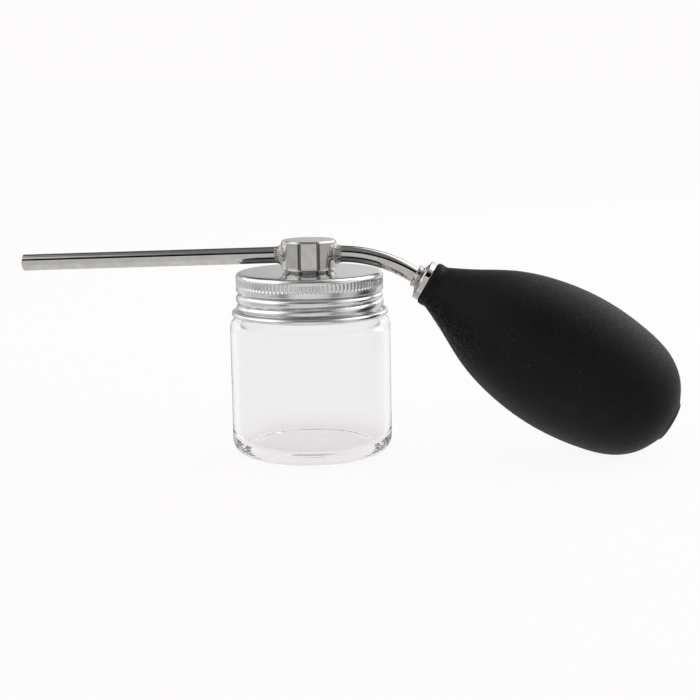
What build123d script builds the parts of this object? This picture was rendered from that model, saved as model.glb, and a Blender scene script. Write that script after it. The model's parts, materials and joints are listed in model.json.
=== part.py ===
from build123d import *

import os
from math import cos, pi, radians, sin

# A hand sprayer for fine powder: a glass jar with a screw cap, a metal hub on the cap, a straight
# nozzle tube on one side and a squeeze bulb with two ball valves on the other.
# Millimetres. Origin at the centre of the jar's base, +Z up, +X towards the bulb.

# ---- jar ----
JAR_R = 23.5
JAR_WALL = 2.2
JAR_H = 51.0
JAR_BASE_CORNER = 4.5
JAR_FLOOR_Z = 3.2
JAR_PUNT = 0.9
JAR_FOOT_R = 17.5
PUNT_R = 14.0
PUNT_CORNER = 3.0
FOOT_CORNER = 1.5
FLOOR_CORNER = 3.5
FLOOR_RISE = 0.3
SHOULDER_Z = 39.2
SHOULDER_CORNER = 2.8
NECK_R = 20.1
NECK_WALL = 2.2
NECK_LIP = 0.8
NECK_ROOT_CORNER = 0.5
INNER_SHOULDER_CORNER = 1.5
INNER_DROP = 0.5

# ---- screw thread between jar and cap: one ridge on the glass, one channel in the cap ----
PITCH = 3.0
THREAD_Z = 43.55
THREAD_ANGLE = -90.0
RIDGE_R = 20.85
RIDGE_ROOT = 1.7
RIDGE_CREST = 0.7
RIDGE_LOW_Z = 43.05
RIDGE_HIGH_Z = 46.05
RIDGE_EMBED = 0.3
CHANNEL_R = 21.1
CHANNEL_LOW_Z = 42.0
CHANNEL_HIGH_Z = 46.4
THREAD_PLAY = 0.2

# ---- cap ----
CAP_TOP_Z = 53.4
CAP_PLATE = 0.6
CAP_R = 21.5
CAP_BORE_R = 20.9
CAP_RIM = 1.2
KNURLS = 110
KNURL_DEPTH = 0.25
KNURL_OVERLAP = 0.1
KNURL_LOW_Z = 49.1
KNURL_HIGH_Z = 52.1
RING_GROOVE_Z = 47.7
RING_GROOVE_R = 20.95
RING_GROOVE_HALF = 0.7
SKIRT_R = 21.6
SKIRT_BORE_R = 20.45
SKIRT_LOW_Z = 42.95
SKIRT_HIGH_Z = 48.3
CURL_Z = 41.7
CURL_R = 21.95
CURL_SECTION = 0.95
CURL_BORE_R = 21.1
CURL_TAPER = 0.65
CUT_OVERRUN = 0.4
OUTER_GROOVE_R = 20.92
OUTER_GROOVE_FLOOR = 0.9
OUTER_GROOVE_MOUTH = 1.9
OUTER_GROOVE_LOW_Z = 43.6
OUTER_GROOVE_HIGH_Z = 46.45

# ---- seal and fasteners under the cap ----
LINER_R = 20.7
LINER_HOLE_R = 10.6
LINER_GAP = 0.05
GASKET_R = 9.6
GASKET_T = 1.0
WASHER_R = 9.2
WASHER_T = 1.0
NUT_ACROSS_FLATS = 16.0
NUT_T = 3.2
NUT_CORNER_CUT = 0.8
SPIGOT_R = 6.0
SPIGOT_PLAY = 0.05
SPIGOT_CHAMFER = 0.6
SPIGOT_LOW_Z = 46.9

# ---- hub ----
HUB_R = 8.0
HUB_TOP_Z = 62.65
HUB_CHAMFER = 0.9
PORT_X = 3.2
AIR_PORT_R = 1.3
POWDER_PORT_R = 1.6
CROSS_PORT_START = 2.2

# ---- tubes ----
TUBE_R = 2.4
TUBE_BORE_R = 1.8
TUBE_Z = 58.45
TUBE_SEAT = 5.0
SHANK_R = 2.1
SHANK_CHAMFER = 0.12
NOZZLE_DROOP = 1.6
NOZZLE_TIP_X = 85.9
BEND_START_X = 9.5
BEND_R = 40.0
BULB_TILT = 30.2
BRAZE_R = 3.9
BRAZE_END = 9.9
BRAZE_TOE_R = 2.5
BRAZE_ROOT = 6.8
BRAZE_SHOULDER = 7.8
BRAZE_HOLLOW = (0.4, 0.36)

# ---- connector: sizes along the bulb's axis count from the neck face of the bulb ----
NECK_FACE_X = 34.6
FLANGE_R = 5.9
FLANGE_T = 2.0
FLANGE_EDGE = 0.35
FLARE_R = 4.8
FLARE_T = 1.1
COLLAR_R = 3.3
COLLAR_T = 1.2
TUBE_STOP = -1.0
STEM_R = 3.6
STEM_END = 16.0
BARB_R = 4.0
BARB_STARTS = (2.5, 5.5, 8.5)
BARB_LENGTH = 1.8

# ---- ball valves ----
CHAMBER_R = 2.5
BALL_R = 1.8
BALL_LIFT = 0.8
BALL_PLAY = 0.01
SEAT_BORE_R = 1.1
SEAT_MOUTH_R = 2.1
PIN_R = 0.4
PIN_GAP = 0.05
PIN_SHORT = 0.3
OUTLET_CHAMBER = 6.0
OUTLET_SEAT = 12.4
INTAKE_SEAT = 77.0
INTAKE_STEM_START = 70.0
INTAKE_STEM_R = 3.8
INTAKE_LIP_R = 4.6
INTAKE_LIP_LENGTH = 3.0
INTAKE_LIP_LAND = 1.0
INTAKE_FLANGE_R = 5.5
INTAKE_FLANGE_T = 1.1
SCREEN_R = 2.0
SCREEN_T = 0.3
SCREEN_DEPTH = 0.5
SCREEN_RIM = 0.3
SCREEN_WIRE = 0.2
SCREEN_PITCH = 0.5
SCREEN_END_GAP = 0.1

# ---- bulb: half outline as distance along the axis and radius ----
BULB_NECK_R = 6.6
BULB_NECK_LIP = 0.7
BULB_LENGTH = 80.5
BULB_WALL = 2.2
BULB_OUTLINE = [
    (3.0, 6.6),
    (9.7, 9.9),
    (20.0, 15.4),
    (31.6, 19.2),
    (46.5, 21.0),
    (61.5, 19.6),
    (71.0, 16.6),
    (77.0, 11.6),
    (79.9, 6.6),
]
BULB_START_SLOPE = (0.12, 1.0)
BULB_END_SLOPE = (-1.0, 0.32)
BULB_REAR_EDGE = 0.4
CAVITY_START = 12.0
CAVITY_BOSS = 76.4
CAVITY_FIRST = 0.14
CAVITY_LAST = 0.86
CAVITY_SAMPLES = 9
CAVITY_STEP = 1.0
CAVITY_BOSS_STEP = 1.5

# ---- worked out from the sizes above ----
CAP_UNDER_Z = CAP_TOP_Z - CAP_PLATE
GASKET_LOW_Z = CAP_UNDER_Z - GASKET_T
WASHER_LOW_Z = GASKET_LOW_Z - WASHER_T
NUT_LOW_Z = WASHER_LOW_Z - NUT_T
TILT = radians(BULB_TILT)
DROOP = radians(NOZZLE_DROOP)
BEND_END = (BEND_START_X + BEND_R * sin(TILT), TUBE_Z - BEND_R * (1 - cos(TILT)))
BULB_AXIS = Vector(cos(TILT), 0, -sin(TILT))
NECK_FACE_Z = BEND_END[1] - (NECK_FACE_X - BEND_END[0]) * sin(TILT) / cos(TILT)
NECK_FACE = Vector(NECK_FACE_X, 0, NECK_FACE_Z)
NOZZLE_AXIS = Vector(-cos(DROOP), 0, -sin(DROOP))
ON_BULB = Location(Plane(origin=NECK_FACE, x_dir=(0, 1, 0), z_dir=BULB_AXIS))
ON_NOZZLE = Location(Plane(origin=(0, 0, TUBE_Z), x_dir=(0, 1, 0), z_dir=NOZZLE_AXIS))
ON_BULB_TUBE = Location(Plane(origin=(0, 0, TUBE_Z), x_dir=(0, 1, 0), z_dir=(1, 0, 0)))
# A ball on a 45 degree seat touches it on a circle of this radius, and as far past its own centre.
SEAT_TOUCH = BALL_R * sin(pi / 4)
BALL_BEHIND_SEAT = SEAT_TOUCH - (SEAT_MOUTH_R - SEAT_TOUCH) + BALL_PLAY
PIN_BEHIND_SEAT = BALL_BEHIND_SEAT + BALL_LIFT + BALL_R + PIN_GAP + PIN_R


# ---------------------------------------------------------------- shared shapes

def turned(*corners):
    """Turn a closed half outline about Z. A corner is (radius, height) or (radius, height, rounding)."""
    points = [corner[:2] for corner in corners]
    roundings = [corner[2] if len(corner) > 2 else 0 for corner in corners]
    outline = FilletPolyline(*points, radius=roundings, close=True)
    return revolve(Plane.XZ * make_face(outline), axis=Axis.Z)


def rod(radius, low, high):
    """A plain round bar along Z."""
    return Pos(0, 0, low) * Cylinder(radius, high - low, align=(Align.CENTER, Align.CENTER, Align.MIN))


def cross_pin(height, length):
    """A pin square across the Z axis."""
    return Pos(0, 0, height) * Rot(0, 90, 0) * Cylinder(PIN_R, length)


def thread_angle(height, shift=0.0):
    """Angle at which the thread's centre line, raised by shift, passes a height."""
    return THREAD_ANGLE + 360 * (height - THREAD_Z - shift) / PITCH


def helical_bar(r_low, r_high, width_low, width_high, low, high, shift=0.0):
    """A bar of trapezoid section that follows the thread from height low to height high."""
    path = Helix(pitch=PITCH, height=high - low, radius=r_low)
    section = Plane(origin=path @ 0, x_dir=(1, 0, 0), z_dir=path % 0)
    depth = r_high - r_low
    low_half = width_low / 2
    high_half = width_high / 2
    outline = Polyline((0, -low_half), (depth, -high_half), (depth, high_half), (0, low_half), close=True)
    bar = sweep(section * make_face(outline), path=path, is_frenet=True)
    return Pos(0, 0, low) * Rot(0, 0, thread_angle(low, shift)) * bar


def width_at(radius, r_a, width_a, r_b, width_b):
    """Width of a trapezoid at a radius, from its widths at two other radii."""
    return width_a + (width_b - width_a) * (radius - r_a) / (r_b - r_a)


def ball():
    """A valve ball at rest on a seat whose mouth is at height 0 and faces down."""
    return Pos(0, 0, -BALL_BEHIND_SEAT) * Sphere(BALL_R)


# ---------------------------------------------------------------- jar

def jar():
    """Clear glass jar: floor with a shallow punt, square shoulder, threaded neck."""
    bore = JAR_R - JAR_WALL
    neck_bore = NECK_R - NECK_WALL
    glass = turned(
        (0, JAR_PUNT),
        (PUNT_R, JAR_PUNT, PUNT_CORNER),
        (JAR_FOOT_R, 0, FOOT_CORNER),
        (JAR_R, 0, JAR_BASE_CORNER),
        (JAR_R, SHOULDER_Z, SHOULDER_CORNER),
        (NECK_R, SHOULDER_Z, NECK_ROOT_CORNER),
        (NECK_R, JAR_H, NECK_LIP),
        (neck_bore, JAR_H, NECK_LIP),
        (neck_bore, SHOULDER_Z - INNER_DROP, INNER_SHOULDER_CORNER),
        (bore, SHOULDER_Z - JAR_WALL - INNER_DROP, INNER_SHOULDER_CORNER),
        (bore, JAR_FLOOR_Z, FLOOR_CORNER),
        (0, JAR_FLOOR_Z + FLOOR_RISE),
    )
    root = width_at(NECK_R - RIDGE_EMBED, NECK_R, RIDGE_ROOT, RIDGE_R, RIDGE_CREST)
    ridge = helical_bar(NECK_R - RIDGE_EMBED, RIDGE_R, root, RIDGE_CREST, RIDGE_LOW_Z, RIDGE_HIGH_Z)
    return glass + ridge


def cap_liner():
    """Soft sealing ring between the jar's lip and the cap."""
    return rod(LINER_R, JAR_H, CAP_UNDER_Z - LINER_GAP) - rod(LINER_HOLE_R, JAR_H - 1, CAP_TOP_Z)


# ---------------------------------------------------------------- cap

def knurl_band():
    """Ring of upright serrations round the cap."""
    root_r = CAP_R - KNURL_DEPTH
    step = 2 * pi / KNURLS
    points = []
    for tooth in range(KNURLS):
        crest = tooth * step
        valley = crest + step / 2
        points.append((CAP_R * cos(crest), CAP_R * sin(crest)))
        points.append((root_r * cos(valley), root_r * sin(valley)))
    ring = make_face(Polyline(*points, close=True)) - Circle(CAP_BORE_R + KNURL_OVERLAP)
    return Pos(0, 0, KNURL_LOW_Z) * extrude(ring, KNURL_HIGH_Z - KNURL_LOW_Z)


def screw_cap():
    """Thin spun cap: flat top, knurled band, ring groove, rolled thread, curled lower edge."""
    root_r = CAP_R - KNURL_DEPTH
    shell = turned(
        (SPIGOT_R + SPIGOT_PLAY, CAP_TOP_Z),
        (root_r, CAP_TOP_Z, CAP_RIM),
        (root_r, KNURL_LOW_Z),
        (CAP_R, KNURL_LOW_Z),
        (CAP_R, RING_GROOVE_Z + RING_GROOVE_HALF, 0.2),
        (RING_GROOVE_R, RING_GROOVE_Z, 0.5),
        (SKIRT_R, RING_GROOVE_Z - RING_GROOVE_HALF, 0.3),
        (SKIRT_R, CURL_Z),
        (CURL_BORE_R, CURL_Z),
        (CURL_BORE_R, SKIRT_LOW_Z - CURL_TAPER),
        (SKIRT_BORE_R, SKIRT_LOW_Z),
        (SKIRT_BORE_R, SKIRT_HIGH_Z),
        (CAP_BORE_R, SKIRT_HIGH_Z + CAP_BORE_R - SKIRT_BORE_R),
        (CAP_BORE_R, CAP_UNDER_Z, 0.3),
        (SPIGOT_R + SPIGOT_PLAY, CAP_UNDER_Z),
    )
    curl = Pos(0, 0, CURL_Z) * Torus(CURL_R, CURL_SECTION)
    inside = SKIRT_BORE_R - CUT_OVERRUN
    mouth_width = width_at(inside, NECK_R, RIDGE_ROOT, RIDGE_R, RIDGE_CREST) + 2 * THREAD_PLAY
    floor_width = width_at(CHANNEL_R, NECK_R, RIDGE_ROOT, RIDGE_R, RIDGE_CREST) + 2 * THREAD_PLAY
    channel = helical_bar(inside, CHANNEL_R, mouth_width, floor_width, CHANNEL_LOW_Z, CHANNEL_HIGH_Z)
    outside = SKIRT_R + CUT_OVERRUN
    outer_width = width_at(outside, OUTER_GROOVE_R, OUTER_GROOVE_FLOOR, SKIRT_R, OUTER_GROOVE_MOUTH)
    groove = helical_bar(
        OUTER_GROOVE_R,
        outside,
        OUTER_GROOVE_FLOOR,
        outer_width,
        OUTER_GROOVE_LOW_Z,
        OUTER_GROOVE_HIGH_Z,
        shift=PITCH / 2,
    )
    return shell + curl + knurl_band() - channel - groove


# ---------------------------------------------------------------- hub and what clamps it

def hub_body():
    """Round hub with a spigot through the cap. Air goes down one port, powder comes up the other."""
    body = turned(
        (0, SPIGOT_LOW_Z),
        (SPIGOT_R - SPIGOT_CHAMFER, SPIGOT_LOW_Z),
        (SPIGOT_R, SPIGOT_LOW_Z + SPIGOT_CHAMFER),
        (SPIGOT_R, CAP_TOP_Z),
        (HUB_R - HUB_CHAMFER, CAP_TOP_Z),
        (HUB_R, CAP_TOP_Z + HUB_CHAMFER, 0.3),
        (HUB_R, HUB_TOP_Z - HUB_CHAMFER, 0.3),
        (HUB_R - HUB_CHAMFER, HUB_TOP_Z, 0.3),
        (0, HUB_TOP_Z),
    )
    for place, seat_r in ((ON_NOZZLE, SHANK_R), (ON_BULB_TUBE, TUBE_R)):
        body -= place * rod(seat_r, TUBE_SEAT, HUB_R + 2)
        body -= place * rod(TUBE_BORE_R, CROSS_PORT_START, HUB_R)
    body -= Pos(PORT_X, 0, 0) * rod(AIR_PORT_R, SPIGOT_LOW_Z - 1, TUBE_Z)
    body -= Pos(-PORT_X, 0, 0) * rod(POWDER_PORT_R, SPIGOT_LOW_Z - 1, TUBE_Z)
    return body


def hub_gasket():
    """Soft washer against the underside of the cap."""
    return rod(GASKET_R, GASKET_LOW_Z, CAP_UNDER_Z) - rod(SPIGOT_R, GASKET_LOW_Z - 1, CAP_TOP_Z)


def hub_washer():
    """Metal washer between gasket and nut."""
    return rod(WASHER_R, WASHER_LOW_Z, GASKET_LOW_Z) - rod(SPIGOT_R, WASHER_LOW_Z - 1, CAP_TOP_Z)


def hub_nut():
    """Thin hexagon nut on the spigot, with its corners turned off."""
    corner_r = NUT_ACROSS_FLATS / 2 / cos(pi / 6)
    hexagon = Pos(0, 0, NUT_LOW_Z) * extrude(RegularPolygon(corner_r, 6), NUT_T)
    blank = turned(
        (SPIGOT_R, NUT_LOW_Z),
        (corner_r - NUT_CORNER_CUT, NUT_LOW_Z),
        (corner_r, NUT_LOW_Z + NUT_CORNER_CUT / 2),
        (corner_r, WASHER_LOW_Z),
        (SPIGOT_R, WASHER_LOW_Z),
    )
    return hexagon & blank


# ---------------------------------------------------------------- tubes

def nozzle_tube():
    """Straight tube, open and square at its tip, turned down to a shank inside the braze and the hub."""
    end = NOZZLE_TIP_X / cos(DROOP)
    wall_start = BRAZE_END + SHANK_CHAMFER
    outline = (
        (TUBE_BORE_R, TUBE_SEAT),
        (SHANK_R, TUBE_SEAT),
        (SHANK_R, BRAZE_END),
        (TUBE_R - SHANK_CHAMFER, BRAZE_END),
        (TUBE_R, wall_start),
        (TUBE_R, end),
        (TUBE_BORE_R, end),
    )
    return ON_NOZZLE * turned(*outline)


def bulb_tube():
    """Tube that leaves the hub level and bends down in one arc to the bulb's connector."""
    end = NECK_FACE + BULB_AXIS * TUBE_STOP
    level = Line((TUBE_SEAT, 0, TUBE_Z), (BEND_START_X, 0, TUBE_Z))
    middle = (BEND_START_X + BEND_R * sin(TILT / 2), 0, TUBE_Z - BEND_R * (1 - cos(TILT / 2)))
    bend = ThreePointArc((BEND_START_X, 0, TUBE_Z), middle, (BEND_END[0], 0, BEND_END[1]))
    slope = Line((BEND_END[0], 0, BEND_END[1]), end)
    path = Wire([level, bend, slope])
    start = Plane(origin=(TUBE_SEAT, 0, TUBE_Z), x_dir=(0, 1, 0), z_dir=(1, 0, 0))
    return sweep(start * (Circle(TUBE_R) - Circle(TUBE_BORE_R)), path=path)


def braze(place, hole_r):
    """Hollow-sided ring of braze metal where a tube enters the hub."""
    shoulder = (BRAZE_R, BRAZE_SHOULDER)
    toe = (BRAZE_TOE_R, BRAZE_END)
    waist_r = BRAZE_TOE_R + BRAZE_HOLLOW[0] * (BRAZE_R - BRAZE_TOE_R)
    waist = (waist_r, HUB_R + BRAZE_HOLLOW[1] * (BRAZE_END - HUB_R))
    side = ThreePointArc(shoulder, waist, toe)
    rest = Polyline(toe, (hole_r, BRAZE_END), (hole_r, BRAZE_ROOT), (BRAZE_R, BRAZE_ROOT), shoulder)
    ring = revolve(Plane.XZ * make_face(Wire([side, *rest.edges()])), axis=Axis.Z)
    return place * ring - rod(HUB_R, CAP_TOP_Z, HUB_TOP_Z)


# ---------------------------------------------------------------- connector and outlet valve

def stem_outline():
    """The connector's barbed stem as a solid bar, which is also the shape of the bulb's bore."""
    stem = rod(STEM_R, 0, STEM_END)
    for start in BARB_STARTS:
        stem += turned((0, start), (BARB_R, start), (STEM_R, start + BARB_LENGTH), (0, start + BARB_LENGTH))
    return stem


def connector_body():
    """Turned fitting: collar for the tube, flare, flange against the bulb, barbed stem in the bulb."""
    flare_start = -FLANGE_T - FLARE_T
    head = turned(
        (0, flare_start - COLLAR_T),
        (COLLAR_R, flare_start - COLLAR_T, 0.3),
        (COLLAR_R, flare_start, 0.2),
        (FLARE_R, -FLANGE_T),
        (FLANGE_R, -FLANGE_T, FLANGE_EDGE),
        (FLANGE_R, 0, FLANGE_EDGE),
        (0, 0),
    )
    body = head + stem_outline()
    body -= rod(TUBE_R, flare_start - COLLAR_T - 1, TUBE_STOP)
    body -= rod(TUBE_BORE_R, TUBE_STOP - 1, OUTLET_CHAMBER)
    body -= rod(CHAMBER_R, OUTLET_CHAMBER, STEM_END + 1)
    body -= cross_pin(OUTLET_SEAT - PIN_BEHIND_SEAT, 2 * STEM_R)
    return ON_BULB * body


def outlet_seat():
    """Pressed-in ring with a conical seat, at the end of the connector's stem."""
    cone_end = OUTLET_SEAT + SEAT_MOUTH_R - SEAT_BORE_R
    ring = turned(
        (SEAT_MOUTH_R, OUTLET_SEAT),
        (CHAMBER_R, OUTLET_SEAT),
        (CHAMBER_R, STEM_END),
        (SEAT_BORE_R, STEM_END),
        (SEAT_BORE_R, cone_end),
    )
    return ON_BULB * ring


def outlet_ball():
    return ON_BULB * Pos(0, 0, OUTLET_SEAT) * ball()


def outlet_pin():
    """Cross pin that stops the outlet ball's lift."""
    return ON_BULB * cross_pin(OUTLET_SEAT - PIN_BEHIND_SEAT, 2 * STEM_R - PIN_SHORT)


# ---------------------------------------------------------------- intake valve at the rear of the bulb

def intake_body():
    """Valve body pressed into the rear of the bulb, with a flange outside and a lip inside."""
    flange_low = BULB_LENGTH - INTAKE_FLANGE_T
    recess = BULB_LENGTH - SCREEN_DEPTH - SCREEN_T
    cone_end = INTAKE_SEAT + SEAT_MOUTH_R - SEAT_BORE_R
    body = turned(
        (CHAMBER_R, INTAKE_STEM_START),
        (INTAKE_STEM_R, INTAKE_STEM_START),
        (INTAKE_STEM_R, CAVITY_BOSS - INTAKE_LIP_LENGTH),
        (INTAKE_LIP_R, CAVITY_BOSS - INTAKE_LIP_LAND),
        (INTAKE_LIP_R, CAVITY_BOSS),
        (INTAKE_STEM_R, CAVITY_BOSS),
        (INTAKE_STEM_R, flange_low),
        (INTAKE_FLANGE_R, flange_low),
        (INTAKE_FLANGE_R, BULB_LENGTH, 0.3),
        (SCREEN_R, BULB_LENGTH),
        (SCREEN_R, recess),
        (SEAT_BORE_R, recess),
        (SEAT_BORE_R, cone_end),
        (SEAT_MOUTH_R, INTAKE_SEAT),
        (CHAMBER_R, INTAKE_SEAT),
    )
    body -= cross_pin(INTAKE_SEAT - PIN_BEHIND_SEAT, 2 * INTAKE_LIP_R)
    return ON_BULB * body


def intake_ball():
    return ON_BULB * Pos(0, 0, INTAKE_SEAT) * ball()


def intake_pin():
    """Cross pin that stops the intake ball's lift."""
    return ON_BULB * cross_pin(INTAKE_SEAT - PIN_BEHIND_SEAT, 2 * INTAKE_STEM_R - PIN_SHORT)


def intake_screen():
    """Dust screen in the valve's mouth: a rim with crossed wires."""
    low = BULB_LENGTH - SCREEN_DEPTH - SCREEN_T
    hole_r = SCREEN_R - SCREEN_RIM
    screen = rod(SCREEN_R, low, low + SCREEN_T) - rod(hole_r, low - 1, low + 1)
    reach = int(hole_r / SCREEN_PITCH)
    for step in range(-reach, reach + 1):
        offset = step * SCREEN_PITCH
        length = 2 * (SCREEN_R ** 2 - (abs(offset) + SCREEN_WIRE) ** 2) ** 0.5 - SCREEN_END_GAP
        screen += Pos(offset, 0, low + SCREEN_T / 2) * Box(SCREEN_WIRE, length, SCREEN_WIRE)
        screen += Pos(0, offset, low + SCREEN_T / 2) * Box(length, SCREEN_WIRE, SCREEN_WIRE)
    return ON_BULB * screen


# ---------------------------------------------------------------- bulb

def rubber_bulb():
    """Hollow pear-shaped squeeze bulb, thick at the neck and round the intake valve."""
    curve = Spline(*[(r, s) for s, r in BULB_OUTLINE], tangents=[BULB_START_SLOPE, BULB_END_SLOPE])
    first_s = BULB_OUTLINE[0][0]
    last_s, last_r = BULB_OUTLINE[-1]
    neck = FilletPolyline((0, 0), (BULB_NECK_R, 0), (BULB_NECK_R, first_s), radius=[BULB_NECK_LIP])
    rear_edge = (INTAKE_FLANGE_R + BULB_REAR_EDGE, BULB_LENGTH)
    rear = Polyline((last_r, last_s), rear_edge, (0, BULB_LENGTH), (0, 0))
    skin = revolve(Plane.XZ * make_face(Wire([*neck.edges(), curve, *rear.edges()])), axis=Axis.Z)

    inner = []
    for sample in range(CAVITY_SAMPLES):
        along = CAVITY_FIRST + (CAVITY_LAST - CAVITY_FIRST) * sample / (CAVITY_SAMPLES - 1)
        point = curve @ along
        slope = curve % along
        inner.append((point.X - slope.Y * BULB_WALL, point.Y + slope.X * BULB_WALL))
    wall = Spline(*inner)
    ends = Polyline(
        inner[-1],
        (INTAKE_LIP_R + CAVITY_BOSS_STEP, CAVITY_BOSS),
        (0, CAVITY_BOSS),
        (0, CAVITY_START),
        (STEM_R + CAVITY_STEP, CAVITY_START),
        inner[0],
    )
    cavity = revolve(Plane.XZ * make_face(Wire([wall, *ends.edges()])), axis=Axis.Z)

    bulb = skin - cavity - stem_outline()
    bulb -= rod(INTAKE_STEM_R, CAVITY_BOSS - 1, BULB_LENGTH)
    bulb -= rod(INTAKE_FLANGE_R, BULB_LENGTH - INTAKE_FLANGE_T, BULB_LENGTH + 1)
    return ON_BULB * bulb


NODES = {
    "jar": jar(),
    "cap_liner": cap_liner(),
    "screw_cap": screw_cap(),
    "hub_body": hub_body(),
    "hub_gasket": hub_gasket(),
    "hub_washer": hub_washer(),
    "hub_nut": hub_nut(),
    "nozzle_tube": nozzle_tube(),
    "nozzle_braze": braze(ON_NOZZLE, SHANK_R),
    "bulb_tube": bulb_tube(),
    "bulb_tube_braze": braze(ON_BULB_TUBE, TUBE_R),
    "connector_body": connector_body(),
    "outlet_seat": outlet_seat(),
    "outlet_ball": outlet_ball(),
    "outlet_pin": outlet_pin(),
    "intake_body": intake_body(),
    "intake_ball": intake_ball(),
    "intake_pin": intake_pin(),
    "intake_screen": intake_screen(),
    "rubber_bulb": rubber_bulb(),
}

os.makedirs("parts", exist_ok=True)
for name, solid in NODES.items():
    export_step(solid, f"parts/{name}.step")
    box = solid.bounding_box()
    print(f"{name:18s} volume {solid.volume:9.1f}  lowest {box.min.Z:7.2f}  highest {box.max.Z:7.2f}")
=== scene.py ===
import json
from math import atan2, cos, hypot, pi, radians, sin, sqrt, tan

import bmesh
import bpy
import numpy as np
from mathutils import Matrix, Vector


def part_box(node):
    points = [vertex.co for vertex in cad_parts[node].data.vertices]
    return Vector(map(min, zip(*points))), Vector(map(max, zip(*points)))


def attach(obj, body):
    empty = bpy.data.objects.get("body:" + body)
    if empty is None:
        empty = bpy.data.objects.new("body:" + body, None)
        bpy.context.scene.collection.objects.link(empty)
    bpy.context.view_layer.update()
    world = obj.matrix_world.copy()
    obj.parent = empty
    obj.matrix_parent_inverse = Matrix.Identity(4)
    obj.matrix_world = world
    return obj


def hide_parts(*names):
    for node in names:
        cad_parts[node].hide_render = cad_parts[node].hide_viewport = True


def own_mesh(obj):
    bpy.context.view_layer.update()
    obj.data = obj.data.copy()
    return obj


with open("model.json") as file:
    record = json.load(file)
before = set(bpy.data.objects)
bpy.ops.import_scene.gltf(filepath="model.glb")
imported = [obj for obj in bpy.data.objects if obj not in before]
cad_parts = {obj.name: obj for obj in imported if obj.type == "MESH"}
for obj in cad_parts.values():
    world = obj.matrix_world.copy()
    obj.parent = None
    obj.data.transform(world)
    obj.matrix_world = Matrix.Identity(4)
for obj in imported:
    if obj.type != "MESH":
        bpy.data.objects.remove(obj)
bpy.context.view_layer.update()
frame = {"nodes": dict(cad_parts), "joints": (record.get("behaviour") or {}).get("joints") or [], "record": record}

# Shapes are worked out in millimetres in the model's own frame and scaled once, when a mesh is made.
MM = 0.001


def size_of(node):
    """Lowest and highest corner of a CAD node in millimetres."""
    low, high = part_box(node)
    return low / MM, high / MM


# ---- sizes read from the frame ----
JAR_HIGH = size_of("jar")[1]
CAP_HIGH = size_of("screw_cap")[1]
HUB_LOW, HUB_HIGH = size_of("hub_body")
JOINTS = {joint["name"]: joint for joint in frame["joints"]}
MOUNTS = {mount["name"]: mount for mount in frame["record"]["mounts"]}
BULB_AXIS = -Vector(JOINTS["bulb_squeeze"]["axis"]).normalized()
NOZZLE_AXIS = Vector(MOUNTS["nozzle_tip"]["axis"]).normalized()

JAR_R = JAR_HIGH.x
JAR_H = JAR_HIGH.z
CAP_TOP = CAP_HIGH.z
CAP_EDGE_R = CAP_HIGH.x
HUB_R = HUB_HIGH.x
HUB_TOP = HUB_HIGH.z
SPIGOT_LOW = HUB_LOW.z

# ---- jar ----
JAR_WALL = 2.0
JAR_FOOT_ROUNDING = 4.5
JAR_FLOOR = 3.5
PUNT_R = 14.5
PUNT_RISE = 0.9
RIDGE_STEP = 0.12
SHOULDER_Z = 39.2
SHOULDER_RISE = 1.9
NECK_R = 20.1
NECK_WALL = 2.2

# ---- thread ----
PITCH = 3.0
THREAD_Z = 43.55
THREAD_ANGLE = radians(-90)
RIDGE_R = 20.85
RIDGE_HALF_ROOT = 0.85
RIDGE_HALF_CREST = 0.35
RIDGE_LOW_Z = 43.05
RIDGE_HIGH_Z = 46.05
RIDGE_RUNOUT = 0.25
NEARBY_TURNS = (-2, -1, 0, 1)

# ---- cap ----
CAP_PLATE = 0.6
CAP_WALL = 0.45
CAP_BAND_R = 21.5
CAP_RIM = 1.2
KNURLS = 110
KNURL_DEPTH = 0.25
KNURL_LOW = 49.4
KNURL_HIGH = 51.95
RING_Z = 47.7
VALLEY_R = 20.6
CREST_R = 21.6
CURL_SECTION = 0.78
CURL_Z = 41.62
RING_HALF_WIDTH = 1.15
GROOVE_HALF_WIDTH = 1.3
CREVICE_Z = CURL_Z + 0.75
VALLEY_BLUNT = 0.16
CAP_BORE_R = CAP_BAND_R - 0.6
SPIGOT_R = 6.0

# ---- tubes and hub ----
HUB_FOOT_CHAMFER = 0.9
HUB_TOP_CHAMFER = 0.5
PORTS = (("air_port_cutter", 3.2, 1.3), ("powder_port_cutter", -3.2, 1.6))
TUBE_R = 2.4
TUBE_BORE_R = 1.8
TUBE_Z = 58.45
TUBE_SEAT = 5.0
NOZZLE_TIP_X = 85.9
BEND_START = 9.5
BEND_R = 40.0
NECK_FACE_X = 34.6
BRAZE_R = 3.9
BRAZE_END = 9.9
BRAZE_TOE_R = TUBE_R + 0.04
BRAZE_INSIDE_R = TUBE_R - 0.3
BRAZE_ROOT_Z = HUB_R - 1.2

# ---- bulb: the outline's points are (distance from the end of the neck, radius) ----
BULB_LENGTH = 80.5
BULB_NECK_R = 6.6
BULB_WALL = 2.2
BULB_MOUTH_R = 3.6
BULB_OUTLINE = (
    (3.0, 6.6),
    (9.7, 9.9),
    (20.0, 15.4),
    (31.6, 19.2),
    (46.5, 21.0),
    (61.5, 19.6),
    (71.0, 16.6),
    (77.0, 11.6),
    (79.9, 6.6),
)
VALVE_R = 5.5
VALVE_SEAT_R = 3.8
VALVE_SINK = 1.1
PARTING_AT = 45.8
PARTING_SEEN = (4.5, 15.5)

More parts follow.
